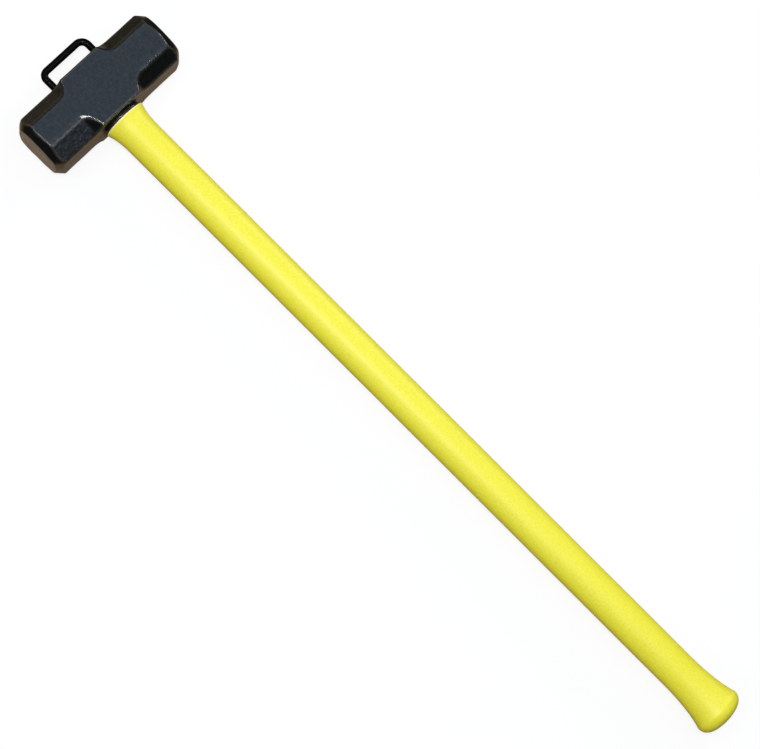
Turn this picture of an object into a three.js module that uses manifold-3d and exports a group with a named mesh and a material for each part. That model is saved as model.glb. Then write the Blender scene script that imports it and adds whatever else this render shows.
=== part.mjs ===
// Sledgehammer: forged double-faced head, jacketed composite handle, bent-rod loop on the crown.
//
// Units are millimetres. The hammer lies on its side: the handle runs along X with the head at +X, the
// head's long axis runs along Y, and one broad side of the head rests on z = 0.
// Every piece is first made in the tool's own frame, whose origin is the middle of the eye. In that frame
// the crown, the head's end face away from the handle, is at x = +HEAD.height / 2.

import * as THREE from 'three';
import { mergeVertices } from 'three/addons/utils/BufferGeometryUtils.js';
import Module from 'manifold-3d';

const wasm = await Module();
wasm.setup();

// ---- Driving dimensions -------------------------------------------------------------------------

const OVERALL_LENGTH = 914.4; // crown to butt end, the loop left out: a 36 inch sledgehammer

const HEAD = {
  length: 172.0, // strike face to strike face
  height: 62.9, // crown to underside, along the handle
  thickness: 61.8, // broad side to broad side
  bevelDepth: 6.2, // how far a facet's bevel reaches along the head at the facet's middle
  bevelSag: 2.4, // further reach at the facet's ends
  bevelSlope: 1.0, // reach along the head over width
};

// The chamfers, by arm (+1 is at +Y, the left arm) and by the side that they border (+1 is the crown, -1
// the underside). Each is broad along X on the broad side and deep along Z on the bordering side. It runs
// out towards the eye block in a scoop of the given radius, which ends square at the shoulder, a distance
// from the handle's axis.
const CHAMFERS = [
  { arm: 1, side: 1, breadth: 14.5, depth: 12.6, scoopRadius: 15, shoulder: 24 },
  { arm: 1, side: -1, breadth: 21, depth: 10.5, scoopRadius: 14, shoulder: 24.8 },
  { arm: -1, side: 1, breadth: 13.9, depth: 11.2, scoopRadius: 16, shoulder: 23.8 },
  { arm: -1, side: -1, breadth: 14.8, depth: 12.8, scoopRadius: 18, shoulder: 22.5 },
];

const CORE = {
  halfWidth: 13.6, // along the head
  depthRatio: 0.74, // half-depth over half-width
  crownRecess: 3, // core ends this far below the crown
  buttCover: 46, // jacket beyond the core's end
};

const EYE = {
  pottingWidth: 2.8, // core to eye wall at the underside, along the head
  flare: 1.8, // further half-width at the crown, so that the potting can't pull out
  depthRatio: 0.8, // half-depth over half-width
  resinRecess: 1.2, // potting stands this far below the crown
};

const LOOP = {
  rodDiameter: 7.6,
  eyeWall: 5.5, // steel between the eye's mouth and each socket
  rise: 25.4, // crown to the outside of the top bar
  leftBendRadius: 6.6, // on the rod's centre line
  rightBendRadius: 8.4,
  socketDepth: 15,
};

const WELD = {
  width: 1.7, // outward from the rod
  height: 1.9, // up from the crown
};

const JACKET = {
  wall: 6.4, // over the core, at the edges of the grip
  depthRatio: 0.78, // half-depth over half-width, of the jacket and of the collar
  neckFlare: 4.4, // from the grip out to the rim against the collar
  neckFlareLength: 28,
  buttFlare: 6.6, // from the grip out to the butt's widest section
  buttFlareLength: 72, // grip section to the butt's end face
  buttCrest: 14.2, // widest section to the butt's end face
  buttRounding: 11.1, // from the widest section in to the slightly domed end
  buttDome: 1.9, // height of that dome
};

const COLLAR = {
  inset: 2.6, // inside the jacket's rim
  height: 2.9, // along the handle
};

const FIT_GAP = 0.3; // between pieces that touch or are bonded
const PAST = 1; // how far a cutting solid runs past the face it opens
const ROUND_SEGMENTS = 48;
const ARC_SEGMENTS = 10;

const PAINT = { color: 0x16181a, roughness: 0.32, metalness: 0.1 };
const COLOURS = {
  head: PAINT,
  crown_loop: { ...PAINT, color: 0x0f1011, roughness: 0.25 },
  loop_weld: { ...PAINT, roughness: 0.4 },
  eye_resin: { color: 0x3a3020, roughness: 0.35, metalness: 0 },
  handle_core: { color: 0xc9b45a, roughness: 0.6, metalness: 0 },
  handle_jacket: { color: 0xe8e23a, roughness: 0.38, metalness: 0 },
  neck_collar: { color: 0x101010, roughness: 0.3, metalness: 0 },
};

// ---- Places worked out from them ----------------------------------------------------------------

const EYE_UNDER_HALF_WIDTH = CORE.halfWidth + EYE.pottingWidth;
const EYE_CROWN_HALF_WIDTH = EYE_UNDER_HALF_WIDTH + EYE.flare;
const SOCKET_RADIUS = LOOP.rodDiameter / 2 + FIT_GAP;
const LEG_Y = EYE_CROWN_HALF_WIDTH + LOOP.eyeWall + SOCKET_RADIUS;
const GRIP_HALF_WIDTH = CORE.halfWidth + JACKET.wall;
const RIM_HALF_WIDTH = GRIP_HALF_WIDTH + JACKET.neckFlare;
const BUTT_HALF_WIDTH = GRIP_HALF_WIDTH + JACKET.buttFlare;
const COLLAR_HALF_WIDTH = RIM_HALF_WIDTH - COLLAR.inset;

const CROWN_X = HEAD.height / 2;
const UNDERSIDE_X = -HEAD.height / 2;
const BUTT_X = CROWN_X - OVERALL_LENGTH;
const LOOP_TOP_X = CROWN_X + LOOP.rise;
const COLLAR_TOP_X = UNDERSIDE_X - FIT_GAP;
const COLLAR_BOTTOM_X = COLLAR_TOP_X - COLLAR.height;
const RIM_X = COLLAR_BOTTOM_X - FIT_GAP;
const CORE_TOP_X = CROWN_X - CORE.crownRecess;
const CORE_BOTTOM_X = BUTT_X + CORE.buttCover;
const RESIN_TOP_X = CROWN_X - EYE.resinRecess;

// ---- Solids -------------------------------------------------------------------------------------

function solid(geometry) {
  const bare = geometry.clone();
  bare.deleteAttribute('normal');
  bare.deleteAttribute('uv');
  const merged = mergeVertices(bare, 1e-4);
  return new wasm.Manifold(new wasm.Mesh({
    numProp: 3,
    vertProperties: new Float32Array(merged.attributes.position.array),
    triVerts: new Uint32Array(merged.index.array),
  }));
}

function namedMesh(name, manifold, look) {
  const { vertProperties, triVerts } = manifold.getMesh();
  const geometry = new THREE.BufferGeometry();
  geometry.setAttribute('position', new THREE.BufferAttribute(new Float32Array(vertProperties), 3));
  geometry.setIndex(new THREE.BufferAttribute(new Uint32Array(triVerts), 1));
  geometry.computeVertexNormals();
  const mesh = new THREE.Mesh(geometry, new THREE.MeshStandardMaterial(look));
  mesh.name = name;
  return mesh;
}

// A body round the X axis. Each point of the outline is (half-width, x), from low x to high x, and the
// section is an ellipse whose half-depth is depthRatio times its half-width.
function ovalBody(outline, depthRatio) {
  const geometry = new THREE.LatheGeometry(outline, ROUND_SEGMENTS);
  geometry.scale(1, 1, depthRatio);
  geometry.rotateZ(-Math.PI / 2);
  return solid(geometry);
}

// An oval body with straight sides between two sections.
function ovalTaper(lowX, lowHalfWidth, highX, highHalfWidth, depthRatio) {
  return ovalBody([
    new THREE.Vector2(0, lowX),
    new THREE.Vector2(lowHalfWidth, lowX),
    new THREE.Vector2(highHalfWidth, highX),
    new THREE.Vector2(0, highX),
  ], depthRatio);
}

// ---- Head ---------------------------------------------------------------------------------------

// What is cut away for one chamfer of one arm: all that is above the chamfer plane, ending towards the
// eye block in a concave quarter round. The outline lies in the plane of the head axis and the normal.
function chamferCutter({ arm, side, breadth, depth, scoopRadius, shoulder }, broadSide) {
  const { length, height, thickness } = HEAD;
  const reach = length / 2 + PAST;
  const slope = Math.hypot(breadth, depth);
  const clearance = Math.max(scoopRadius, slope) + PAST;
  const outline = new THREE.Shape();
  outline.moveTo(shoulder, clearance);
  outline.lineTo(shoulder, scoopRadius);
  outline.absarc(shoulder + scoopRadius, scoopRadius, scoopRadius, Math.PI, 1.5 * Math.PI, false);
  outline.lineTo(reach, 0);
  outline.lineTo(reach, clearance);
  outline.closePath();
  const width = 2 * slope + 2 * scoopRadius;
  const geometry = new THREE.ExtrudeGeometry(outline, {
    depth: width,
    bevelEnabled: false,
    curveSegments: ARC_SEGMENTS,
  });
  geometry.translate(0, 0, -width / 2);
  const along = new THREE.Vector3(0, arm, 0);
  const normal = new THREE.Vector3(side * depth, 0, broadSide * breadth).normalize();
  const across = new THREE.Vector3().crossVectors(along, normal);
  const onPlane = new THREE.Vector3(side * (height - breadth) / 2, 0, broadSide * (thickness - depth) / 2);
  geometry.applyMatrix4(new THREE.Matrix4().makeBasis(along, normal, across).setPosition(onPlane));
  return solid(geometry);
}

// Corners of one arm's octagonal section in the plane of X and Z, in order round the head's axis.
function armSection(arm) {
  const corners = [];
  for (const broadSide of [1, -1]) {
    for (const side of [-broadSide, broadSide]) {
      const { breadth, depth } = CHAMFERS.find((chamfer) => chamfer.arm === arm && chamfer.side === side);
      const pair = [
        new THREE.Vector3(side * HEAD.height / 2, 0, broadSide * (HEAD.thickness / 2 - depth)),
        new THREE.Vector3(side * (HEAD.height / 2 - breadth), 0, broadSide * HEAD.thickness / 2),
      ];
      corners.push(...(side === broadSide ? pair.reverse() : pair));
    }
  }
  return corners;
}

// Trims the bevels round one strike face. Each facet of the arm has a bevel of its own, whose edge on the
// facet is an arc that reaches further along the head at the facet's ends: five flats follow that arc.
function bevelled(body, arm) {
  const { length, bevelDepth, bevelSag, bevelSlope } = HEAD;
  const outwardFace = new THREE.Vector3(0, arm, 0);
  const corners = armSection(arm);
  corners.forEach((corner, i) => {
    const next = corners[(i + 1) % corners.length];
    const middle = corner.clone().add(next).divideScalar(2);
    const along = next.clone().sub(corner);
    const halfLength = along.length() / 2;
    along.normalize();
    const outward = new THREE.Vector3(-along.z, 0, along.x);
    for (const place of [-0.8, -0.4, 0, 0.4, 0.8]) {
      const lean = outward.clone().multiplyScalar(bevelSlope);
      lean.addScaledVector(along, 2 * bevelSag * place / halfLength);
      const reach = length / 2 - bevelDepth + bevelSag * place ** 2 + lean.dot(middle);
      const kept = new THREE.Plane(lean.add(outwardFace).negate(), reach).normalize();
      body = body.trimByPlane(kept.normal.toArray(), -kept.constant);
    }
  });
  return body;
}

// A body that follows the eye's taper from lowX to highX, standing the given clearance off its wall.
function eyeTaper(lowX, highX, clearance) {
  const halfWidthAt = (x) => EYE_UNDER_HALF_WIDTH + EYE.flare * (x - UNDERSIDE_X) / HEAD.height;
  const gap = clearance / EYE.depthRatio;
  return ovalTaper(lowX, halfWidthAt(lowX) - gap, highX, halfWidthAt(highX) - gap, EYE.depthRatio);
}

function loopSocket(sign) {
  const length = LOOP.socketDepth + PAST;
  const geometry = new THREE.CylinderGeometry(SOCKET_RADIUS, SOCKET_RADIUS, length, ROUND_SEGMENTS / 2);
  geometry.rotateZ(-Math.PI / 2);
  geometry.translate(CROWN_X + PAST - length / 2, sign * LEG_Y, 0);
  return solid(geometry);
}

function head() {
  let body = solid(new THREE.BoxGeometry(HEAD.height, HEAD.length, HEAD.thickness));
  for (const chamfer of CHAMFERS) {
    for (const broadSide of [1, -1]) {
      body = body.subtract(chamferCutter(chamfer, broadSide));
    }
  }
  body = bevelled(bevelled(body, 1), -1);
  body = body.subtract(eyeTaper(UNDERSIDE_X - PAST, CROWN_X + PAST, 0));
  for (const sign of [1, -1]) {
    body = body.subtract(loopSocket(sign));
  }
  return body;
}

// ---- Loop on the crown --------------------------------------------------------------------------

function crownLoop() {
  const { rodDiameter, leftBendRadius, rightBendRadius, socketDepth } = LOOP;
  const footX = CROWN_X - socketDepth + FIT_GAP;
  const barX = LOOP_TOP_X - rodDiameter / 2;
  const leftX = barX - leftBendRadius;
  const rightX = barX - rightBendRadius;
  const line = new THREE.Path();
  line.moveTo(footX, LEG_Y);
  line.lineTo(leftX, LEG_Y);
  line.absarc(leftX, LEG_Y - leftBendRadius, leftBendRadius, Math.PI / 2, 0, true);
  line.lineTo(barX, rightBendRadius - LEG_Y);
  line.absarc(rightX, rightBendRadius - LEG_Y, rightBendRadius, 0, -Math.PI / 2, true);
  line.lineTo(footX, -LEG_Y);
  const steps = Math.round(line.getLength() / (rodDiameter / 3));
  const centreLine = new THREE.CatmullRomCurve3(
    line.getSpacedPoints(steps).map((point) => new THREE.Vector3(point.x, point.y, 0)),
  );
  const section = new THREE.Shape().absarc(0, 0, rodDiameter / 2, 0, 2 * Math.PI, false);
  return solid(new THREE.ExtrudeGeometry(section, {
    steps,
    curveSegments: ARC_SEGMENTS,
    extrudePath: centreLine,
  }));
}

// A fillet bead round one leg, standing on the crown.
function loopWeld(sign) {
  const { width, height } = WELD;
  const outline = new THREE.Path();
  outline.moveTo(SOCKET_RADIUS, 0);
  outline.lineTo(SOCKET_RADIUS + width, 0);
  outline.quadraticCurveTo(SOCKET_RADIUS + width * 0.7, height * 0.7, SOCKET_RADIUS, height);
  outline.lineTo(SOCKET_RADIUS, 0);
  const geometry = new THREE.LatheGeometry(outline.getPoints(ARC_SEGMENTS / 2), ROUND_SEGMENTS / 2);
  geometry.rotateZ(-Math.PI / 2);
  geometry.translate(CROWN_X + FIT_GAP, sign * LEG_Y, 0);
  return solid(geometry);
}

// ---- Handle -------------------------------------------------------------------------------------

// The core's oval, grown all round by the given clearance, up to topX.
function coreOval(topX, clearance) {
  const halfWidth = CORE.halfWidth + clearance;
  const halfDepth = CORE.halfWidth * CORE.depthRatio + clearance;
  return ovalTaper(CORE_BOTTOM_X - clearance, halfWidth, topX, halfWidth, halfDepth / halfWidth);
}

// The space that the core takes in the pieces round it, open above the core's end.
function coreBore() {
  return coreOval(CROWN_X + PAST, FIT_GAP);
}

function eyeResin() {
  return eyeTaper(UNDERSIDE_X, RESIN_TOP_X, FIT_GAP).subtract(coreBore());
}

function neckCollar() {
  const rounding = COLLAR.height / 3;
  const edge = COLLAR_HALF_WIDTH;
  const outline = new THREE.Path();
  outline.moveTo(0, COLLAR_BOTTOM_X);
  outline.lineTo(edge - rounding, COLLAR_BOTTOM_X);
  outline.quadraticCurveTo(edge, COLLAR_BOTTOM_X, edge, COLLAR_BOTTOM_X + rounding);
  outline.lineTo(edge, COLLAR_TOP_X - rounding);
  outline.quadraticCurveTo(edge, COLLAR_TOP_X, edge - rounding, COLLAR_TOP_X);
  outline.lineTo(0, COLLAR_TOP_X);
  return ovalBody(outline.getPoints(ARC_SEGMENTS / 2), JACKET.depthRatio).subtract(coreBore());
}

// Outline of the jacket from the middle of the butt's end face to the rim at the neck.
function jacketOutline() {
  const { neckFlareLength, buttFlare, buttFlareLength, buttCrest, buttRounding, buttDome } = JACKET;
  const crestX = BUTT_X + buttCrest;
  const flareX = BUTT_X + buttFlareLength;
  const flareSpan = flareX - crestX;
  const endHalfWidth = BUTT_HALF_WIDTH - buttRounding;
  const outline = new THREE.Path();
  outline.moveTo(0, BUTT_X);
  outline.quadraticCurveTo(endHalfWidth * 0.6, BUTT_X, endHalfWidth, BUTT_X + buttDome);
  outline.bezierCurveTo(
    endHalfWidth + buttRounding * 0.6, BUTT_X + buttDome * 1.9,
    BUTT_HALF_WIDTH, crestX - (buttCrest - buttDome) * 0.55,
    BUTT_HALF_WIDTH, crestX,
  );
  outline.bezierCurveTo(
    GRIP_HALF_WIDTH + buttFlare * 0.5, crestX + flareSpan * 0.16,
    GRIP_HALF_WIDTH, flareX - flareSpan * 0.5,
    GRIP_HALF_WIDTH, flareX,
  );
  outline.lineTo(GRIP_HALF_WIDTH, RIM_X - neckFlareLength);
  outline.quadraticCurveTo(GRIP_HALF_WIDTH, RIM_X - neckFlareLength * 0.35, RIM_HALF_WIDTH, RIM_X);
  outline.lineTo(0, RIM_X);
  return outline.getPoints(ARC_SEGMENTS);
}

function handleJacket() {
  return ovalBody(jacketOutline(), JACKET.depthRatio).subtract(coreBore());
}

// ---- Assembly -----------------------------------------------------------------------------------

const hammer = new THREE.Group();
hammer.add(
  namedMesh('head', head(), COLOURS.head),
  namedMesh('crown_loop', crownLoop(), COLOURS.crown_loop),
  namedMesh('loop_weld_left', loopWeld(1), COLOURS.loop_weld),
  namedMesh('loop_weld_right', loopWeld(-1), COLOURS.loop_weld),
  namedMesh('eye_resin', eyeResin(), COLOURS.eye_resin),
  namedMesh('handle_core', coreOval(CORE_TOP_X, 0), COLOURS.handle_core),
  namedMesh('handle_jacket', handleJacket(), COLOURS.handle_jacket),
  namedMesh('neck_collar', neckCollar(), COLOURS.neck_collar),
);
hammer.position.set(-(LOOP_TOP_X + BUTT_X) / 2, 0, HEAD.thickness / 2);

export default hammer;
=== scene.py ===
"""Looks for the sledgehammer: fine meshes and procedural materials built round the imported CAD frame.

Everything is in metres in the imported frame: the handle runs along X with the head at +X, the head's long
axis runs along Y, and the head's broad side rests on z = 0. Pieces are placed from the CAD nodes' boxes.
"""

import math

import bmesh
import bpy
import numpy as np
from mathutils import Matrix, Vector, noise


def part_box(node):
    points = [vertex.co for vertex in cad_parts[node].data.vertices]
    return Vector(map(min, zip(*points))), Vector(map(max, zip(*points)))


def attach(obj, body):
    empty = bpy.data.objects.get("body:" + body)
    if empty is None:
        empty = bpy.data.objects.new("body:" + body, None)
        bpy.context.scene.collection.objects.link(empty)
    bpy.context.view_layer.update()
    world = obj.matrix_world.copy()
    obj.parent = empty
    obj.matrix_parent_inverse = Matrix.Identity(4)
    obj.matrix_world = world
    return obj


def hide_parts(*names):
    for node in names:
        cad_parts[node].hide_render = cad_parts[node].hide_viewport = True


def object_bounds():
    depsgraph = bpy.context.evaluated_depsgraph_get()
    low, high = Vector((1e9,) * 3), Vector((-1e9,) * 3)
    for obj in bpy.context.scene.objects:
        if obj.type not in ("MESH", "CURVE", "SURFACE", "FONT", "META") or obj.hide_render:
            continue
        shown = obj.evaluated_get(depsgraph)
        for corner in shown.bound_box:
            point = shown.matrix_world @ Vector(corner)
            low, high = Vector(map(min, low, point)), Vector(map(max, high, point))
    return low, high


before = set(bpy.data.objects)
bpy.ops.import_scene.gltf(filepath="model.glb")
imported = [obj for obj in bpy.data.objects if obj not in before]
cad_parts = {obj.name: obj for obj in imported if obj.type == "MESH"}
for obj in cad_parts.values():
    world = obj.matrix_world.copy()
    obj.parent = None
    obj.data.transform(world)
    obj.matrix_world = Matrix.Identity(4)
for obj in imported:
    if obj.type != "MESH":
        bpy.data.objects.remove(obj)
CAD_LOW, CAD_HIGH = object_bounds()

MM = 0.001


# ---- Sizes from the frame, and those that its boxes don't give ----------------------------------

def centre_of(node):
    low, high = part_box(node)
    return (low + high) / 2


def size_of(node):
    low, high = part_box(node)
    return high - low


HEAD_MID = centre_of("head")
HEAD_HEIGHT, HEAD_LENGTH, HEAD_THICKNESS = size_of("head")
CROWN_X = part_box("head")[1].x
UNDERSIDE_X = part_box("head")[0].x

# The chamfers by (arm, side): arm +1 is at +Y, side +1 borders the crown. Each has its breadth along X,
# its depth along Z, its scoop's radius and the distance of the scoop's shoulder from the handle's axis.
CHAMFERS = {
    (1, 1): (14.5 * MM, 12.6 * MM, 15 * MM, 24 * MM),
    (1, -1): (21 * MM, 10.5 * MM, 14 * MM, 24.8 * MM),
    (-1, 1): (13.9 * MM, 11.2 * MM, 16 * MM, 23.8 * MM),
    (-1, -1): (14.8 * MM, 12.8 * MM, 18 * MM, 22.5 * MM),
}

# A bevel starts BEVEL_DEPTH short of the strike face in the middle of its facet and BEVEL_SAG sooner at
# the facet's ends. BEVEL_SLOPE is how far it falls back from the face for each step outward.
BEVEL_DEPTH = 6.2 * MM
BEVEL_SAG = 2.4 * MM
BEVEL_SLOPE = 1.0

FORGED_ROUNDING = 1.6 * MM
FACE_ROUNDING = 0.7 * MM
BEVEL_ROUNDING = 0.9 * MM
MOUTH_CHAMFER = 1.1 * MM

EYE_DEPTH_RATIO = 0.8
EYE_UNDER_HALF_WIDTH = 16.4 * MM
EYE_CROWN_HALF_WIDTH = 18.2 * MM
EYE_WIDENING = (EYE_CROWN_HALF_WIDTH - EYE_UNDER_HALF_WIDTH) / HEAD_HEIGHT

ROD_DIAMETER = size_of("crown_loop").z
LEG_Y = size_of("crown_loop").y / 2 - ROD_DIAMETER / 2
LEFT_BEND = 6.6 * MM
RIGHT_BEND = 8.4 * MM

CORE_HALF_WIDTH = size_of("handle_core").y / 2
CORE_HALF_DEPTH = size_of("handle_core").z / 2

BUTT_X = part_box("handle_jacket")[0].x
RIM_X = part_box("handle_jacket")[1].x
BUTT_HALF_WIDTH = size_of("handle_jacket").y / 2
JACKET_DEPTH_RATIO = size_of("handle_jacket").z / size_of("handle_jacket").y
GRIP_HALF_WIDTH = 20 * MM
RIM_HALF_WIDTH = 24.4 * MM
RIM_ROUNDING = 0.9 * MM
NECK_FLARE_LENGTH = 28 * MM
BUTT_FLARE_LENGTH = 72 * MM
BUTT_CREST = 14.2 * MM
BUTT_ROUNDING = 11.1 * MM
BUTT_DOME = 1.9 * MM

# Bonded pieces stand a little apart, and closer where the bond shows.
BOND_GAP = 0.3 * MM
SOCKET_CLEARANCE = 0.05 * MM
POTTING_CORE_CLEARANCE = 0.02 * MM
POTTING_EYE_CLEARANCE = 0.03 * MM
POTTING_SAG = 0.5 * MM
WELD_OVERLAP = 0.1 * MM


# ---- Mesh building ------------------------------------------------------------------------------

def mesh_object(name, vertices, faces):
    mesh = bpy.data.meshes.new(name)
    mesh.from_pydata([tuple(v) for v in vertices], [], faces)
    mesh.validate()
    face_outward(mesh)
    mesh.polygons.foreach_set("use_smooth", [True] * len(mesh.polygons))
    mesh.update()
    piece = bpy.data.objects.new(name, mesh)
    bpy.context.scene.collection.objects.link(piece)
    return piece


def face_outward(mesh):
    """Turns the mesh's faces over if they look into it."""
    shape = bmesh.new()
    shape.from_mesh(mesh)
    inside_out = shape.calc_volume(signed=True) < 0
    shape.free()
    if inside_out:
        mesh.flip_normals()


def skin(name, rings, poles=None):
    """A closed skin over rings of points, rings[ring, point]. With poles, the first and last ring are
    closed by a fan to each pole, and without them the last ring joins the first."""
    ring_count, around = rings.shape[:2]
    vertices = rings.reshape(-1, 3)
    faces = []
    last = ring_count - 1 if poles is not None else ring_count
    for i in range(last):
        a, b = i * around, (i + 1) % ring_count * around
        for j in range(around):
            k = (j + 1) % around
            faces.append((a + j, a + k, b + k, b + j))
    if poles is not None:
        first_pole, last_pole = len(vertices), len(vertices) + 1
        vertices = np.vstack([vertices, poles])
        end = (ring_count - 1) * around
        for j in range(around):
            k = (j + 1) % around
            faces.append((first_pole, k, j))
            faces.append((last_pole, end + j, end + k))
    return mesh_object(name, vertices, faces)


def oval_rings(outline, around, middle):
    """Rings round the X axis through middle, one for each (x, half-width, half-depth) of the outline."""
    angles = np.arange(around) * 2 * math.pi / around
    rings = np.empty((len(outline), around, 3))
    for ring, (x, half_width, half_depth) in zip(rings, outline):
        ring[:, 0] = x
        ring[:, 1] = middle.y - half_width * np.cos(angles)
        ring[:, 2] = middle.z + half_depth * np.sin(angles)
    return rings


def on_axis(x):
    """The point at x on the axis that the handle and the eye share."""
    return x, HEAD_MID.y, HEAD_MID.z


def bezier(points, count):
    """count points along a Bezier curve of any degree, its first point left out."""
    t = np.linspace(0, 1, count + 1)[1:, None]
    level = [np.array(p, float) * np.ones_like(t) for p in points]
    while len(level) > 1:
        level = [a * (1 - t) + b * t for a, b in zip(level, level[1:])]
    return [tuple(p) for p in level[0]]


def straight(start, end, count):
    return bezier([start, end], count)


def roughen(piece, depth, scale, seed):
    """Sinks each vertex by a smooth noise from 0 to depth, as a forging or moulding is never quite true."""
    mesh = piece.data
    offset = Vector((seed * 1.7, seed * 0.9, seed * 2.3))
    normals = [v.normal.copy() for v in mesh.vertices]
    for vertex, normal in zip(mesh.vertices, normals):
        sink = 0.5 - 0.5 * noise.noise(vertex.co / scale + offset)
        vertex.co -= normal * (depth * max(sink, 0))
    mesh.update()


def point_attribute(piece, name, values):
    attribute = piece.data.attributes.new(name, "FLOAT", "POINT")
    attribute.data.foreach_set("value", np.asarray(values, np.float32))


def cut(piece, cutter):
    """Takes cutter out of piece for good."""
    modifier = piece.modifiers.new("cut", "BOOLEAN")
    modifier.operation = "DIFFERENCE"
    modifier.solver = "EXACT"
    modifier.object = cutter
    apply_modifiers(piece)
    bpy.data.objects.remove(cutter)


def apply_modifiers(piece):
    graph = bpy.context.evaluated_depsgraph_get()
    graph.update()
    mesh = bpy.data.meshes.new_from_object(piece.evaluated_get(graph))
    piece.modifiers.clear()
    piece.data = mesh


# ---- Head ---------------------------------------------------------------------------------------

def rounded_intersection(distances, radius):
    """Signed distance to where all the given distances are negative, with its edges rounded."""
    inside = np.minimum(distances.max(0), -radius)
    return inside + np.sqrt((np.maximum(distances + radius, 0) ** 2).sum(0))


def chamfer_distance(p, arm, side, broad_side):
    """How far a point is inside the cutter of one chamfer: above the chamfer's plane on the arm, and
    inside the scoop where the chamfer runs out towards the eye block."""
    breadth, depth, radius, shoulder = CHAMFERS[arm, side]
    from_corner = (p[0] * side - HEAD_HEIGHT / 2) * depth + (p[2] * broad_side - HEAD_THICKNESS / 2) * breadth
    above = (from_corner + breadth * depth) / math.hypot(breadth, depth)
    along = p[1] * arm - shoulder
    scoop = radius - np.hypot(along - radius, above - radius)
    return np.where(along >= radius, above, np.where(above >= radius, along, scoop))


def forged_distance(p):
    sides = [np.abs(p[0]) - HEAD_HEIGHT / 2, np.abs(p[2]) - HEAD_THICKNESS / 2]
    for arm, side in CHAMFERS:
        for broad_side in (1, -1):
            sides.append(chamfer_distance(p, arm, side, broad_side))
    for side, half_width in ((1, EYE_CROWN_HALF_WIDTH), (-1, EYE_UNDER_HALF_WIDTH)):
        reach = np.hypot(p[1], p[2] / EYE_DEPTH_RATIO) - half_width - MOUTH_CHAMFER
        sides.append((p[0] * side - HEAD_HEIGHT / 2 - reach) / math.sqrt(2))
    return rounded_intersection(np.array(sides), FORGED_ROUNDING)


def arm_section(arm):
    """Corners of one arm's octagonal section as (x, z), in order round the head's axis."""
    corners = []
    for broad_side in (1, -1):
        for side in (-broad_side, broad_side):
            breadth, depth = CHAMFERS[arm, side][:2]
            pair = [
                (side * HEAD_HEIGHT / 2, broad_side * (HEAD_THICKNESS / 2 - depth)),
                (side * (HEAD_HEIGHT / 2 - breadth), broad_side * HEAD_THICKNESS / 2),
            ]
            corners += pair[::-1] if side == broad_side else pair
    return np.array(corners)


def bevelled_distance(p, arm):
    """Distance to one strike face and its bevels. Each facet of the arm has a bevel of its own, whose
    edge on the facet is an arc that reaches further along the head at the facet's ends."""
    beyond = p[1] * arm - HEAD_LENGTH / 2
    surfaces = [beyond]
    corners = arm_section(arm)
    for corner, following in zip(corners, np.roll(corners, -1, axis=0)):
        along = following - corner
        half_length = math.hypot(*along) / 2
        along /= 2 * half_length
        x, z = p[0] - (corner[0] + following[0]) / 2, p[2] - (corner[1] + following[1]) / 2
        outward = z * along[0] - x * along[1]
        endward = np.abs(x * along[0] + z * along[1]) / half_length
        sag = np.where(endward < 1, endward ** 2, 2 * endward - 1)
        depth = BEVEL_DEPTH + BEVEL_SLOPE * outward + BEVEL_SAG * sag
        surfaces.append((beyond + depth) / math.hypot(1, BEVEL_SLOPE))
    return rounded_intersection(np.array(surfaces), FACE_ROUNDING)


def head_distance(p):
    parts = [forged_distance(p), bevelled_distance(p, 1), bevelled_distance(p, -1)]
    return rounded_intersection(np.array(parts), BEVEL_ROUNDING)


# The head is measured by rays, HEAD_AROUND to a ring. Those that fan out start FAN_DEPTH inside a face.
HEAD_AROUND = 320
FAN_DEPTH = 30 * MM
LONGEST_RAY = 60 * MM
HALVINGS = 34

# How far a cutter reaches past what it cuts.
CUT_PAST = 2 * MM


def head_rays():
    """Rays that cover the head: square to its long axis in the middle, and fanned out over each end.
    Gives their origins and directions, from the head's middle, as arrays by axis, ring and point."""
    # The rays stand closest over the bevels and over the scoops that end the chamfers.
    bevel_start, bevel_end = 39, 58
    fan = np.radians(np.concatenate([
        np.linspace(3, bevel_start, 12, endpoint=False),
        np.linspace(bevel_start, bevel_end, 34, endpoint=False),
        np.linspace(bevel_end, 90, 16, endpoint=False),
    ]))
    reach = HEAD_LENGTH / 2 - FAN_DEPTH
    scoop_start, scoop_end = 21 * MM, 42 * MM
    line = np.concatenate([
        np.linspace(-reach, -scoop_end, 9, endpoint=False),
        np.linspace(-scoop_end, -scoop_start, 34, endpoint=False),
        np.linspace(-scoop_start, scoop_start, 44, endpoint=False),
        np.linspace(scoop_start, scoop_end, 34, endpoint=False),
        np.linspace(scoop_end, reach, 10),
    ])
    along = np.concatenate([np.full(len(fan), -reach), line, np.full(len(fan), reach)])
    slopes = np.concatenate([math.pi - fan, np.full(len(line), math.pi / 2), fan[::-1]])
    angles = np.arange(HEAD_AROUND) * 2 * math.pi / HEAD_AROUND
    direction = np.stack([
        np.sin(slopes)[:, None] * np.cos(angles),
        np.cos(slopes)[:, None] * np.ones(HEAD_AROUND),
        np.sin(slopes)[:, None] * np.sin(angles),
    ])
    origin = np.zeros_like(direction)
    origin[1] = along[:, None]
    return origin, direction


def head_skin():
    """The head without its holes: where each ray leaves it, found by repeated halving."""
    origin, direction = head_rays()
    low = np.zeros(direction.shape[1:])
    high = np.full(direction.shape[1:], LONGEST_RAY)
    for _ in range(HALVINGS):
        middle = (low + high) / 2
        inside = head_distance(origin + direction * middle) < 0
        low = np.where(inside, middle, low)
        high = np.where(inside, high, middle)
    points = origin + direction * low
    rings = np.moveaxis(points, 0, 2) + np.array(HEAD_MID)
    half = Vector((0, HEAD_LENGTH / 2, 0))
    return skin("head_forging", rings, [HEAD_MID - half, HEAD_MID + half])


def eye_half_width(x):
    return EYE_UNDER_HALF_WIDTH + EYE_WIDENING * (x - UNDERSIDE_X)


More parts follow.
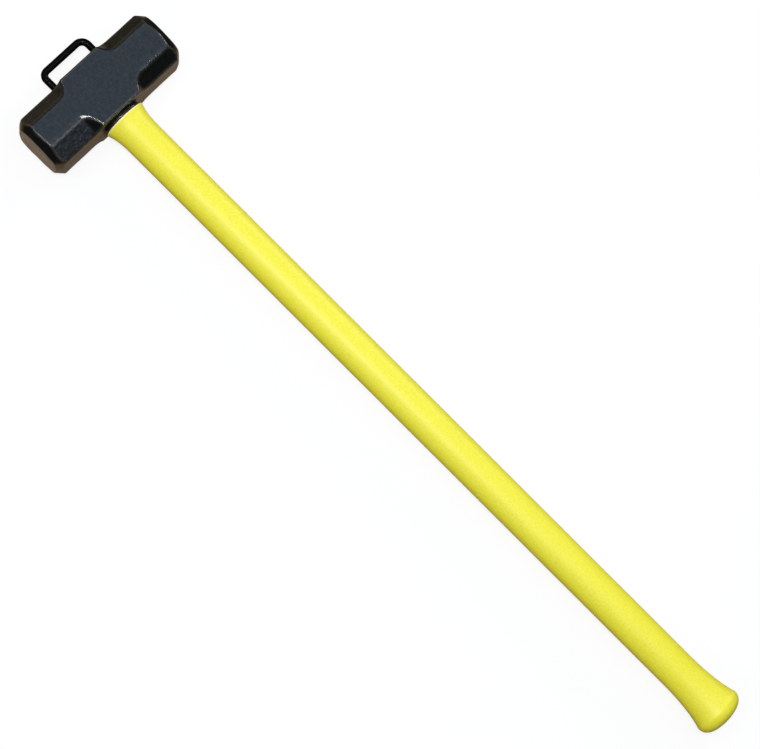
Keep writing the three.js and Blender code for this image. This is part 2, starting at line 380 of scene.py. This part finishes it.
def eye_cutter():
    outline = []
    for x in np.linspace(UNDERSIDE_X - CUT_PAST, CROWN_X + CUT_PAST, 9):
        outline.append((x, eye_half_width(x), eye_half_width(x) * EYE_DEPTH_RATIO))
    poles = [on_axis(outline[0][0]), on_axis(outline[-1][0])]
    return skin("eye_cutter", oval_rings(outline, 128, HEAD_MID), poles)


def socket_cutter(sign):
    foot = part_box("crown_loop")[0].x
    radius = ROD_DIAMETER / 2 + SOCKET_CLEARANCE
    middle = Vector((0, HEAD_MID.y + sign * LEG_Y, HEAD_MID.z))
    outline = [(foot - BOND_GAP, radius, radius), (CROWN_X + CUT_PAST, radius, radius)]
    poles = [(x, middle.y, middle.z) for x, _, _ in outline]
    return skin("socket_cutter", oval_rings(outline, 48, middle), poles)


def read_rows(items, name, width, kind=float):
    """One value of every vertex or edge of a mesh, as rows of width numbers."""
    values = np.empty(len(items) * width, kind)
    items.foreach_get(name, values)
    return values.reshape(-1, width)


def edge_sharpness(piece):
    """How sharp an edge each vertex is on, from 0 to 1, by how the normals spread along the mesh's edges."""
    mesh = piece.data
    normals = read_rows(mesh.vertices, "normal", 3)
    positions = read_rows(mesh.vertices, "co", 3)
    edges = read_rows(mesh.edges, "vertices", 2, int)
    step = positions[edges[:, 1]] - positions[edges[:, 0]]
    length = np.maximum(np.linalg.norm(step, axis=1), 1e-7)
    bend = ((normals[edges[:, 1]] - normals[edges[:, 0]]) * step).sum(1) / length ** 2
    curvature = np.zeros(len(positions))
    np.maximum.at(curvature, edges[:, 0], bend)
    np.maximum.at(curvature, edges[:, 1], bend)
    return np.clip(curvature * FORGED_ROUNDING, 0, 1)


def build_head():
    piece = head_skin()
    roughen(piece, depth=0.45 * MM, scale=19 * MM, seed=3)
    roughen(piece, depth=0.14 * MM, scale=5 * MM, seed=8)
    cut(piece, eye_cutter())
    for sign in (1, -1):
        cut(piece, socket_cutter(sign))
    # This edge mask tints the enamel warm and light along the edges: partly worn enamel, partly a painted
    # highlight on the rounded edges.
    point_attribute(piece, "wear_and_edge_highlight", edge_sharpness(piece))
    return piece


# ---- Loop and its welds -------------------------------------------------------------------------

def bend_points(middle, radius, start, end, count):
    """Points round a bend, the first one left out. Its angles are in degrees, from +X towards +Y."""
    points = []
    for angle in np.radians(np.linspace(start, end, count + 1)[1:]):
        points.append((middle[0] + radius * math.cos(angle), middle[1] + radius * math.sin(angle)))
    return points


def loop_centre_line():
    """Points (x, y) along the bent rod, from the left foot round to the right one."""
    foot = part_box("crown_loop")[0].x
    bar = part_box("crown_loop")[1].x - ROD_DIAMETER / 2
    points = [(foot, LEG_Y)]
    points += straight((foot, LEG_Y), (bar - LEFT_BEND, LEG_Y), 22)
    points += bend_points((bar - LEFT_BEND, LEG_Y - LEFT_BEND), LEFT_BEND, 90, 0, 16)
    points += straight((bar, LEG_Y - LEFT_BEND), (bar, RIGHT_BEND - LEG_Y), 22)
    points += bend_points((bar - RIGHT_BEND, RIGHT_BEND - LEG_Y), RIGHT_BEND, 0, -90, 20)
    points += straight((bar - RIGHT_BEND, -LEG_Y), (foot, -LEG_Y), 22)
    return np.array(points)


def build_loop():
    line = loop_centre_line()
    tangent = np.gradient(line, axis=0)
    tangent /= np.linalg.norm(tangent, axis=1)[:, None]
    angles = np.arange(40) * 2 * math.pi / 40
    rings = np.empty((len(line), len(angles), 3))
    for ring, (x, y), (tx, ty) in zip(rings, line, tangent):
        out = ROD_DIAMETER / 2 * np.cos(angles)
        ring[:, 0] = x + ty * out
        ring[:, 1] = HEAD_MID.y + y - tx * out
        ring[:, 2] = HEAD_MID.z + ROD_DIAMETER / 2 * np.sin(angles)
    poles = [(x, HEAD_MID.y + y, HEAD_MID.z) for x, y in (line[0], line[-1])]
    piece = skin("crown_loop_rod", rings, poles)
    roughen(piece, depth=0.1 * MM, scale=6 * MM, seed=5)
    return piece


def build_weld(node, seed):
    """A fillet bead round a leg: a closed ring whose outline ripples a little, as a hand weld does."""
    middle = centre_of(node)
    low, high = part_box(node)
    reach, rise = size_of(node).y / 2 - ROD_DIAMETER / 2, high.x - low.x
    around = 72
    # The outline in shares of reach and rise: up the rod, down a fillet, and its foot sunk in the crown.
    sunk = -0.25
    outline = [(0.0, sunk), (0.0, 1.0)]
    outline += bezier([(0.0, 1.0), (0.28, 0.92), (0.34, 0.4), (1.0, 0.05)], 8)
    outline += [(1.0, sunk)]
    rings = np.empty((len(outline), around, 3))
    for j in range(around):
        a = 2 * math.pi * j / around
        ripple = 0.9 + 0.1 * noise.noise(Vector((2.4 * math.cos(a), 2.4 * math.sin(a), seed)))
        ripple -= 0.05 * math.cos(11 * a + seed) ** 2
        for i, (out, up) in enumerate(outline):
            radius = ROD_DIAMETER / 2 - WELD_OVERLAP + (reach + WELD_OVERLAP) * out * ripple
            rings[i, j] = (
                low.x + rise * up * (ripple if up > 0 else 1),
                middle.y - radius * math.cos(a),
                middle.z + radius * math.sin(a),
            )
    return skin(node + "_bead", rings[::-1])


# ---- Handle -------------------------------------------------------------------------------------

def jacket_half_widths():
    """(x, half-width) from the butt's middle to the rim."""
    crest = BUTT_X + BUTT_CREST
    flare = BUTT_X + BUTT_FLARE_LENGTH
    span = flare - crest
    rise = BUTT_HALF_WIDTH - GRIP_HALF_WIDTH
    end = BUTT_HALF_WIDTH - BUTT_ROUNDING
    dome = BUTT_X + BUTT_DOME
    points = bezier([(BUTT_X, 0), (BUTT_X, end * 0.6), (dome, end)], 18)
    points += bezier([
        (dome, end),
        (BUTT_X + BUTT_DOME * 1.9, end + BUTT_ROUNDING * 0.6),
        (crest - (BUTT_CREST - BUTT_DOME) * 0.55, BUTT_HALF_WIDTH),
        (crest, BUTT_HALF_WIDTH),
    ], 20)
    points += bezier([
        (crest, BUTT_HALF_WIDTH),
        (crest + span * 0.16, GRIP_HALF_WIDTH + rise * 0.5),
        (flare - span * 0.5, GRIP_HALF_WIDTH),
        (flare, GRIP_HALF_WIDTH),
    ], 30)
    neck = RIM_X - NECK_FLARE_LENGTH
    points += straight((flare, GRIP_HALF_WIDTH), (neck, GRIP_HALF_WIDTH), 190)
    points += bezier([
        (neck, GRIP_HALF_WIDTH),
        (RIM_X - NECK_FLARE_LENGTH * 0.35, GRIP_HALF_WIDTH),
        (RIM_X - RIM_ROUNDING, RIM_HALF_WIDTH - RIM_ROUNDING * 0.35),
    ], 24)
    points += bezier([
        (RIM_X - RIM_ROUNDING, RIM_HALF_WIDTH - RIM_ROUNDING * 0.35),
        (RIM_X, RIM_HALF_WIDTH),
        (RIM_X, RIM_HALF_WIDTH - RIM_ROUNDING * 1.3),
    ], 7)
    return points


def build_jacket():
    outline = [(x, w, w * JACKET_DEPTH_RATIO) for x, w in jacket_half_widths()]
    bore_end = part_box("handle_core")[0].x - BOND_GAP
    bore = (CORE_HALF_WIDTH + BOND_GAP, CORE_HALF_DEPTH + BOND_GAP)
    outline += straight(outline[-1], (RIM_X, *bore), 4)
    outline += straight((RIM_X, *bore), (bore_end, *bore), 8)
    poles = [on_axis(BUTT_X), on_axis(bore_end)]
    piece = skin("handle_jacket_moulding", oval_rings(outline, 144, HEAD_MID), poles)
    roughen(piece, depth=0.2 * MM, scale=60 * MM, seed=12)
    return piece


def build_core():
    """The rod, with broken edges and rings in the sawn end that shows at the crown."""
    low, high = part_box("handle_core")
    rounding = 0.5 * MM
    innermost = 0.3
    inner = (CORE_HALF_WIDTH - rounding, CORE_HALF_DEPTH - rounding)
    full = (CORE_HALF_WIDTH, CORE_HALF_DEPTH)
    outline = [(low.x, *inner), (low.x + rounding, *full)]
    outline += straight((low.x + rounding, *full), (high.x - rounding, *full), 30)
    outline += straight((high.x - rounding, *full), (high.x, *inner), 3)
    outline += straight((high.x, *inner), (high.x, inner[0] * innermost, inner[1] * innermost), 5)
    poles = [on_axis(low.x), on_axis(high.x)]
    return skin("handle_core_rod", oval_rings(outline, 96, HEAD_MID), poles)


def build_resin():
    """The potting: a sleeve that fills the eye round the core, its top pulled up a little at both walls."""
    low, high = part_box("eye_resin")
    top = high.x
    inner = (CORE_HALF_WIDTH + POTTING_CORE_CLEARANCE, CORE_HALF_DEPTH + POTTING_CORE_CLEARANCE)

    def wall(x):
        half_width = eye_half_width(x) - POTTING_EYE_CLEARANCE
        return half_width, half_width * EYE_DEPTH_RATIO

    outline = [(low.x, *inner)]
    outline += straight(outline[-1], (low.x, *wall(low.x)), 3)
    outline += straight((low.x, *wall(low.x)), (top, *wall(top)), 14)
    outer = wall(top)
    for share in np.linspace(0, 1, 14)[1:]:
        sag = POTTING_SAG * math.sin(math.pi * share) ** 0.7
        outline.append((
            top - sag,
            outer[0] + (inner[0] - outer[0]) * share,
            outer[1] + (inner[1] - outer[1]) * share,
        ))
    outline += straight((top, *inner), (low.x, *inner), 12)[:-1]
    return skin("eye_resin_potting", oval_rings(outline, 96, HEAD_MID))


def build_collar():
    """The seal between jacket and head: a flattened ring with a bulged edge."""
    low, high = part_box("neck_collar")
    inner = (CORE_HALF_WIDTH + BOND_GAP, CORE_HALF_DEPTH + BOND_GAP)
    half_width, half_depth = size_of("neck_collar").y / 2, size_of("neck_collar").z / 2
    middle_x, half_height = (low.x + high.x) / 2, (high.x - low.x) / 2
    outline = [(low.x, *inner)]
    outline += straight(outline[-1], (low.x, half_width - half_height, half_depth - half_height), 3)
    for turn in np.linspace(-90, 90, 19)[1:]:
        a = math.radians(turn)
        pull_in = half_height * (1 - math.cos(a))
        outline.append((middle_x + half_height * math.sin(a), half_width - pull_in, half_depth - pull_in))
    outline += straight(outline[-1], (high.x, *inner), 3)
    outline += straight((high.x, *inner), (low.x, *inner), 3)[:-1]
    return skin("neck_collar_seal", oval_rings(outline, 144, HEAD_MID))


# ---- Materials ----------------------------------------------------------------------------------

# A mix node has sockets for each kind of value. These are its factor, its two colours and their mix.
MIX_FACTOR, MIX_FIRST, MIX_SECOND, MIXED = 0, 6, 7, 2


class Look:
    """One material: a Principled shader and short ways to add nodes to it."""

    def __init__(self, name, **values):
        self.material = bpy.data.materials.new(name)
        self.material.use_nodes = True
        self.tree = self.material.node_tree
        self.tree.nodes.clear()
        output = self.tree.nodes.new("ShaderNodeOutputMaterial")
        self.shader = self.tree.nodes.new("ShaderNodeBsdfPrincipled")
        self.tree.links.new(self.shader.outputs["BSDF"], output.inputs["Surface"])
        coordinates = self.tree.nodes.new("ShaderNodeTexCoord")
        self.place = coordinates.outputs["Object"]
        for socket, value in values.items():
            self.shader.inputs[socket.replace("_", " ")].default_value = value

    def node(self, kind, links=None, **settings):
        node = self.tree.nodes.new(kind)
        for name, value in settings.items():
            setattr(node, name, value)
        for name, value in (links or {}).items():
            if isinstance(value, bpy.types.NodeSocket):
                self.tree.links.new(value, node.inputs[name])
            else:
                node.inputs[name].default_value = value
        return node

    def drive(self, name, socket):
        self.tree.links.new(socket, self.shader.inputs[name])

    def noise(self, size, detail=3.0, roughness=0.55, place=None):
        """Noise from 0 to 1 whose blobs are about size across, in metres."""
        return self.node("ShaderNodeTexNoise", {
            "Vector": place or self.place,
            "Scale": 1 / size,
            "Detail": detail,
            "Roughness": roughness,
        }).outputs["Fac"]

    def ramp(self, factor, stops):
        node = self.node("ShaderNodeValToRGB", {"Fac": factor})
        elements = node.color_ramp.elements
        while len(elements) < len(stops):
            elements.new(1.0)
        for element, (position, colour) in zip(elements, stops):
            element.position = position
            element.color = (*colour, 1)
        return node.outputs["Color"]

    def spread(self, factor, low, high, from_low=0.3, from_high=0.7):
        """Takes factor from one range of values to another."""
        return self.node("ShaderNodeMapRange", {
            "Value": factor,
            "From Min": from_low,
            "From Max": from_high,
            "To Min": low,
            "To Max": high,
        }).outputs["Result"]

    def math(self, operation, first, second=0.0):
        node = self.node("ShaderNodeMath", {0: first, 1: second}, operation=operation)
        return node.outputs["Value"]

    def mix(self, factor, first, second):
        """Goes from the first colour to the second as factor, a socket, goes from 0 to 1."""
        node = self.node("ShaderNodeMix", data_type="RGBA")
        self.tree.links.new(factor, node.inputs[MIX_FACTOR])
        for socket, value in ((MIX_FIRST, first), (MIX_SECOND, second)):
            if isinstance(value, bpy.types.NodeSocket):
                self.tree.links.new(value, node.inputs[socket])
            else:
                node.inputs[socket].default_value = (*value, 1)
        return node.outputs[MIXED]

    def bump(self, height, distance, strength=1.0, normal=None):
        links = {"Height": height, "Distance": distance, "Strength": strength}
        if normal is not None:
            links["Normal"] = normal
        return self.node("ShaderNodeBump", links).outputs["Normal"]

    def attribute(self, name):
        return self.node("ShaderNodeAttribute", attribute_name=name).outputs["Fac"]

    def axes(self):
        node = self.node("ShaderNodeSeparateXYZ", {"Vector": self.place})
        return node.outputs["X"], node.outputs["Y"], node.outputs["Z"]


def head_colour(look, grain, face):
    """Enamel with fine grain and soft clouds, warm where it thins out over edges and lighter there as a
    painted highlight along the rounded edges, and on the ground strike faces a thin brown lacquer in its
    place."""
    clouds = look.noise(14 * MM, 3.0)
    cool = look.ramp(grain, [(0.3, (0.001, 0.0012, 0.001)), (0.72, (0.007, 0.008, 0.008))])
    tint = look.mix(look.spread(clouds, 0.0, 0.35), cool, (0.004, 0.0045, 0.004))
    wear_and_edge_highlight = look.math("MULTIPLY", look.attribute("wear_and_edge_highlight"), look.spread(look.noise(2.2 * MM), 0.25, 1.0))
    # Edge tint: part worn enamel, part a painted highlight that draws light lines along the rounded edges.
    tint = look.mix(look.math("MULTIPLY", wear_and_edge_highlight, 0.6), tint, (0.11, 0.095, 0.07))
    lacquer = look.ramp(look.noise(2.5 * MM, 4.0), [(0.3, (0.24, 0.2, 0.16)), (0.7, (0.34, 0.29, 0.235))])
    return look.mix(face, tint, lacquer)


def grinding_rings(look, beyond):
    """Fine rings round the head's axis, on the strike faces and their bevels only. Beyond is how far
    past the start of a strike face a point is, in metres."""
    x, _, z = look.axes()
    from_axis = look.node("ShaderNodeVectorMath", {
        0: look.node("ShaderNodeCombineXYZ", {
            "X": look.math("SUBTRACT", x, HEAD_MID.x),
            "Z": look.math("SUBTRACT", z, HEAD_MID.z),
        }).outputs["Vector"],
    }, operation="LENGTH").outputs["Value"]
    rings = look.math("SINE", look.math("MULTIPLY", from_axis, 2 * math.pi / (0.9 * MM)))
    ground = look.spread(beyond, 0.0, 1.0, -BEVEL_DEPTH * 1.3, -BEVEL_DEPTH)
    return look.math("MULTIPLY", rings, ground)


def left_as_forged(look):
    """Above 0 on the underside of each arm and on the chamfers that border it, and 0 elsewhere."""
    x, y, _ = look.axes()
    low = look.spread(x, 1.0, 0.0, HEAD_MID.x - 14 * MM, HEAD_MID.x - 10 * MM)
    outer = look.spread(look.math("ABSOLUTE", y), 0.0, 0.7, 34 * MM, 38 * MM)
    return look.math("MULTIPLY", low, outer)


def head_enamel():
    """Gloss black enamel brushed over a forging, whose own grain shows through it."""
    look = Look("head_enamel", IOR=1.5)
    grain = look.noise(0.9 * MM, 4.0, 0.6)
    mottle = look.noise(2.6 * MM, 5.0, 0.7)
    face_start = HEAD_LENGTH / 2 - 0.8 * MM
    beyond = look.math("SUBTRACT", look.math("ABSOLUTE", look.axes()[1]), face_start)
    face = look.spread(beyond, 0.0, 1.0, 0.0, 0.5 * MM)
    satin = look.spread(grain, 0.08, 0.16)
    look.drive("Base Color", head_colour(look, grain, face))
    look.drive("Specular IOR Level", look.spread(mottle, 0.36, 0.68))
    look.drive("Roughness", look.math("ADD", satin, look.math("MULTIPLY", face, 0.12)))
    marks = look.math("MULTIPLY", grinding_rings(look, beyond), 0.16)
    normal = look.bump(look.math("ADD", grain, marks), 0.1 * MM, 0.8)
    normal = look.bump(mottle, 0.25 * MM, 0.5, normal)
    normal = look.bump(look.noise(2.2 * MM, 3.0), 0.4 * MM, left_as_forged(look), normal)
    look.drive("Normal", normal)
    return look.material


def loop_enamel():
    """Black enamel on a drawn rod, with less shine than the head's."""
    look = Look("loop_enamel", IOR=1.5, Specular_IOR_Level=0.05)
    grain = look.noise(1.4 * MM, 3.0)
    look.drive("Base Color", look.ramp(grain, [(0.3, (0.001, 0.001, 0.001)), (0.75, (0.004, 0.004, 0.004))]))
    look.drive("Roughness", look.spread(look.noise(3 * MM), 0.08, 0.16))
    look.drive("Normal", look.bump(grain, 0.05 * MM, 0.35))
    return look.material


def jacket_polymer():
    """Yellow moulded polymer: fine mottling, faint streaks of flow along the handle, orange-peel skin."""
    look = Look("jacket_polymer", IOR=1.47, Specular_IOR_Level=0.4)
    fine = look.noise(1.7 * MM, 4.0, 0.65)
    stretched = look.node("ShaderNodeMapping", {"Vector": look.place, "Scale": (0.12, 1.0, 1.0)})
    streaks = look.noise(7 * MM, 3.0, place=stretched.outputs["Vector"])
    base = look.ramp(fine, [
        (0.3, (0.77, 0.695, 0.028)),
        (0.5, (0.865, 0.795, 0.046)),
        (0.7, (0.9, 0.85, 0.1)),
    ])
    base = look.mix(look.spread(streaks, 0.0, 0.35), base, (0.85, 0.77, 0.03))
    # The rim is painted paler: a painted highlight along its rounded edge.
    pale = look.spread(look.axes()[0], 0.0, 0.8, RIM_X - 1.8 * MM, RIM_X - 1.2 * MM)
    base = look.mix(pale, base, (0.95, 0.91, 0.5))
    look.drive("Base Color", base)
    look.drive("Roughness", look.spread(fine, 0.38, 0.5))
    peel = look.bump(look.noise(1.3 * MM, 2.0, 0.5), 0.05 * MM, 0.5)
    look.drive("Normal", look.bump(look.noise(9 * MM, 2.0), 0.1 * MM, 0.3, peel))
    return look.material


def collar_seal():
    """Nearly black rubber with a fine grain."""
    look = Look("collar_seal", IOR=1.5, Specular_IOR_Level=0.6)
    grain = look.noise(1.1 * MM, 3.0)
    look.drive("Base Color", look.ramp(grain, [(0.3, (0.008, 0.006, 0.007)), (0.7, (0.024, 0.02, 0.022))]))
    look.drive("Roughness", look.spread(grain, 0.2, 0.34))
    look.drive("Normal", look.bump(grain, 0.05 * MM, 0.4))
    return look.material


def eye_epoxy():
    """Cast amber epoxy, cloudy and pitted with small bubbles."""
    look = Look("eye_epoxy", IOR=1.55, Specular_IOR_Level=0.5)
    clouds = look.noise(4 * MM, 4.0)
    bubbles = look.node("ShaderNodeTexVoronoi", {"Vector": look.place, "Scale": 1 / (1.6 * MM)})
    pits = look.spread(bubbles.outputs["Distance"], 0.0, 1.0, 0.1, 0.22)
    base = look.ramp(clouds, [(0.3, (0.10, 0.066, 0.026)), (0.7, (0.22, 0.155, 0.07))])
    look.drive("Base Color", look.mix(pits, (0.05, 0.035, 0.016), base))
    look.drive("Roughness", look.spread(clouds, 0.14, 0.3))
    look.drive("Normal", look.bump(pits, 0.12 * MM, 0.5))
    return look.material


def core_fibreglass():
    """Sawn end: bundles of glass fibre seen end-on, in cloudy resin, with faint saw lines."""
    look = Look("core_fibreglass", IOR=1.5, Specular_IOR_Level=0.35)
    bundles = look.node("ShaderNodeTexVoronoi", {"Vector": look.place, "Scale": 1 / (0.9 * MM)})
    clouds = look.noise(5 * MM, 4.0)
    base = look.ramp(bundles.outputs["Distance"], [(0.1, (0.72, 0.66, 0.42)), (0.6, (0.42, 0.36, 0.17))])
    look.drive("Base Color", look.mix(look.spread(clouds, 0.0, 0.5), base, (0.35, 0.27, 0.1)))
    look.drive("Roughness", look.spread(clouds, 0.5, 0.7))
    saw = look.node("ShaderNodeTexWave", {
        "Vector": look.place,
        "Scale": 1 / (6 * MM),
        "Distortion": 2.0,
        "Detail": 2.0,
    }, bands_direction="DIAGONAL").outputs["Fac"]
    relief = look.math("ADD", look.math("MULTIPLY", saw, 0.5), bundles.outputs["Distance"])
    look.drive("Normal", look.bump(relief, 0.08 * MM, 0.4))
    return look.material


# ---- Pale surroundings that the camera sees, and dark ones that the hammer mirrors --------------

BACKDROP_WHITE = (1.0, 1.0, 0.998, 1)
BENCH_BROWN = (0.345, 0.25, 0.17, 1)
BENCH_DARK = (0.03, 0.025, 0.02, 1)
ROOM_DARK = (0.03, 0.03, 0.03, 1)
WALL_OLIVE = (0.36, 0.33, 0.2, 1)
FLOOR_REACH = 8.0

# The bench by the distance from the hammer's middle line, and the wall by how far a direction points
# along +X.
BENCH_HALF_WIDTH = 0.14
BENCH_FADE_END = 0.2
WALL_START = 0.6
WALL_FULL = 0.9


def new_node(tree, kind, colour=None):
    node = tree.nodes.new(kind)
    if colour is not None:
        node.inputs["Color"].default_value = colour
    return node


def mix_shaders(tree, factor, first, second):
    node = new_node(tree, "ShaderNodeMixShader")
    if isinstance(factor, bpy.types.NodeSocket):
        tree.links.new(factor, node.inputs["Fac"])
    else:
        node.inputs["Fac"].default_value = factor
    tree.links.new(first, node.inputs[1])
    tree.links.new(second, node.inputs[2])
    return node.outputs["Shader"]


def fade_along(tree, place, start, start_colour, end, end_colour):
    """A colour that goes from one to another as place goes from start to end."""
    fade = new_node(tree, "ShaderNodeValToRGB")
    first, last = fade.color_ramp.elements
    first.position, first.color = start, start_colour
    last.position, last.color = end, end_colour
    tree.links.new(place, fade.inputs["Fac"])
    return fade.outputs["Color"]


def coordinates(tree, kind):
    """The X, Y and Z sockets of one kind of texture coordinate."""
    axes = new_node(tree, "ShaderNodeSeparateXYZ")
    tree.links.new(new_node(tree, "ShaderNodeTexCoord").outputs[kind], axes.inputs["Vector"])
    return axes.outputs


def bench_shader(tree):
    """A strip of brown bench under the hammer, dark on both sides."""
    aside = new_node(tree, "ShaderNodeMath")
    aside.operation = "ABSOLUTE"
    tree.links.new(coordinates(tree, "Object")["Y"], aside.inputs[0])
    colour = fade_along(
        tree, aside.outputs["Value"], BENCH_HALF_WIDTH, BENCH_BROWN, BENCH_FADE_END, BENCH_DARK)
    bench = new_node(tree, "ShaderNodeBsdfDiffuse")
    tree.links.new(colour, bench.inputs["Color"])
    return bench.outputs["BSDF"]


def floor_paint():
    """A pale sweep, lit from within so that shadows hardly show on it. In bounced and reflected light
    it is a brown bench that fades to dark, which keeps gloss black dark."""
    material = bpy.data.materials.new("floor_paint")
    material.use_nodes = True
    tree = material.node_tree
    tree.nodes.clear()
    glow = new_node(tree, "ShaderNodeEmission", BACKDROP_WHITE)
    paper = new_node(tree, "ShaderNodeBsdfDiffuse", (0.95, 0.95, 0.95, 1))
    pale = mix_shaders(tree, 0.16, glow.outputs["Emission"], paper.outputs["BSDF"])
    seen = new_node(tree, "ShaderNodeLightPath").outputs["Is Camera Ray"]
    output = new_node(tree, "ShaderNodeOutputMaterial")
    tree.links.new(mix_shaders(tree, seen, bench_shader(tree), pale), output.inputs["Surface"])
    return material


# ---- Pieces -------------------------------------------------------------------------------------

def install(piece, node, material):
    piece.data.materials.clear()
    piece.data.materials.append(material)
    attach(piece, "root")
    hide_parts(node)


black_rod = loop_enamel()
install(build_head(), "head", head_enamel())
install(build_loop(), "crown_loop", black_rod)
install(build_weld("loop_weld_left", 2.0), "loop_weld_left", black_rod)
install(build_weld("loop_weld_right", 5.0), "loop_weld_right", black_rod)
install(build_jacket(), "handle_jacket", jacket_polymer())
install(build_core(), "handle_core", core_fibreglass())
install(build_resin(), "eye_resin", eye_epoxy())
install(build_collar(), "neck_collar", collar_seal())


# ---- Camera, floor and light --------------------------------------------------------------------

# The lens takes in FRAME_WIDTH at FRAME_DISTANCE, and the camera stands a little nearer than that.
FRAME_WIDTH = 0.760
FRAME_DISTANCE = 1.988
ENLARGEMENT = 1.0029
CAMERA_DISTANCE = FRAME_DISTANCE / ENLARGEMENT
CAMERA_LEAN = math.radians(12.1)
CAMERA_ROLL = math.radians(45.07)
AIM_FROM_HEAD = Vector((-395.0, 0.3, 0)) * MM
SENSOR_WIDTH = 36.0


def place_camera():
    """Looks down on the hammer, leaning towards +Y so that the left strike face shows, and rolled so
    that the head is at the upper left."""
    data = bpy.data.cameras.new("camera")
    data.sensor_width = SENSOR_WIDTH
    data.lens = SENSOR_WIDTH * FRAME_DISTANCE / FRAME_WIDTH
    data.clip_start, data.clip_end = 0.05, 50
    camera = bpy.data.objects.new("camera", data)
    bpy.context.scene.collection.objects.link(camera)
    back = Vector((0, math.sin(CAMERA_LEAN), math.cos(CAMERA_LEAN)))
    towards_head = Vector((1, 0, 0))
    sideways = towards_head.cross(back)
    up = sideways * math.sin(CAMERA_ROLL) + towards_head * math.cos(CAMERA_ROLL)
    right = up.cross(back)
    aim = HEAD_MID + AIM_FROM_HEAD
    turn = Matrix((right, up, back)).transposed().to_4x4()
    camera.matrix_world = Matrix.Translation(aim + back * CAMERA_DISTANCE) @ turn
    bpy.context.scene.camera = camera


def area_light(name, towards, offset, size, power, colour):
    """A square area light at towards + offset, facing towards."""
    data = bpy.data.lights.new(name, "AREA")
    data.shape = "SQUARE"
    data.size = size
    data.energy = power
    data.color = colour
    light = bpy.data.objects.new(name, data)
    light.location = towards + offset
    light.rotation_mode = "QUATERNION"
    light.rotation_quaternion = (-offset).to_track_quat("-Z", "Y")
    bpy.context.scene.collection.objects.link(light)


COOL_WHITE = (0.57, 0.75, 1.0)
KEY_WHITE = (1.0, 0.95, 0.88)
FILL_WHITE = (1.0, 0.98, 0.92)
WHITE = (1.0, 1.0, 1.0)


def place_lights():
    """A wide cool softbox overhead, a small key high above the handle, a soft fill on each side, and
    two weak lamps that draw thin glints along the loop's legs and the head's edges."""
    middle = (CAD_LOW + CAD_HIGH) / 2
    area_light("overhead", middle, Vector((0.1, -0.25, 2.2)), size=2.9, power=31.5, colour=COOL_WHITE)
    area_light("key", middle, Vector((0.2, 0.334, 2.4)), size=0.2, power=28, colour=KEY_WHITE)
    area_light("right_fill", middle, Vector((0.25, -2.0, 0.9)), size=0.8, power=17, colour=FILL_WHITE)
    area_light("left_fill", middle, Vector((0.25, 1.6, 1.8)), size=0.8, power=7, colour=FILL_WHITE)
    area_light("leg_glint", HEAD_MID, Vector((0.49, 0.45, 2.4)), size=0.15, power=6, colour=WHITE)
    area_light("edge_glint", HEAD_MID, Vector((-1.2, -0.38, 2.4)), size=0.22, power=2.2, colour=WHITE)


def place_world():
    """Dark surroundings with a dim olive wall beyond the head, behind a pale backdrop."""
    world = bpy.data.worlds.new("world")
    world.use_nodes = True
    tree = world.node_tree
    tree.nodes.clear()
    backdrop = new_node(tree, "ShaderNodeBackground", BACKDROP_WHITE)
    around = new_node(tree, "ShaderNodeBackground")
    towards_head = coordinates(tree, "Generated")["X"]
    walls = fade_along(tree, towards_head, WALL_START, ROOM_DARK, WALL_FULL, WALL_OLIVE)
    tree.links.new(walls, around.inputs["Color"])
    seen = new_node(tree, "ShaderNodeLightPath").outputs["Is Camera Ray"]
    choice = mix_shaders(tree, seen, around.outputs["Background"], backdrop.outputs["Background"])
    tree.links.new(choice, new_node(tree, "ShaderNodeOutputWorld").inputs["Surface"])
    bpy.context.scene.world = world


def place_floor():
    reach = FLOOR_REACH
    corners = [(-reach, -reach, 0), (reach, -reach, 0), (reach, reach, 0), (-reach, reach, 0)]
    floor = mesh_object("floor", corners, [(0, 1, 2, 3)])
    floor.data.materials.append(floor_paint())


place_camera()
place_lights()
place_world()
place_floor()
bpy.context.scene.view_settings.view_transform = "Standard"
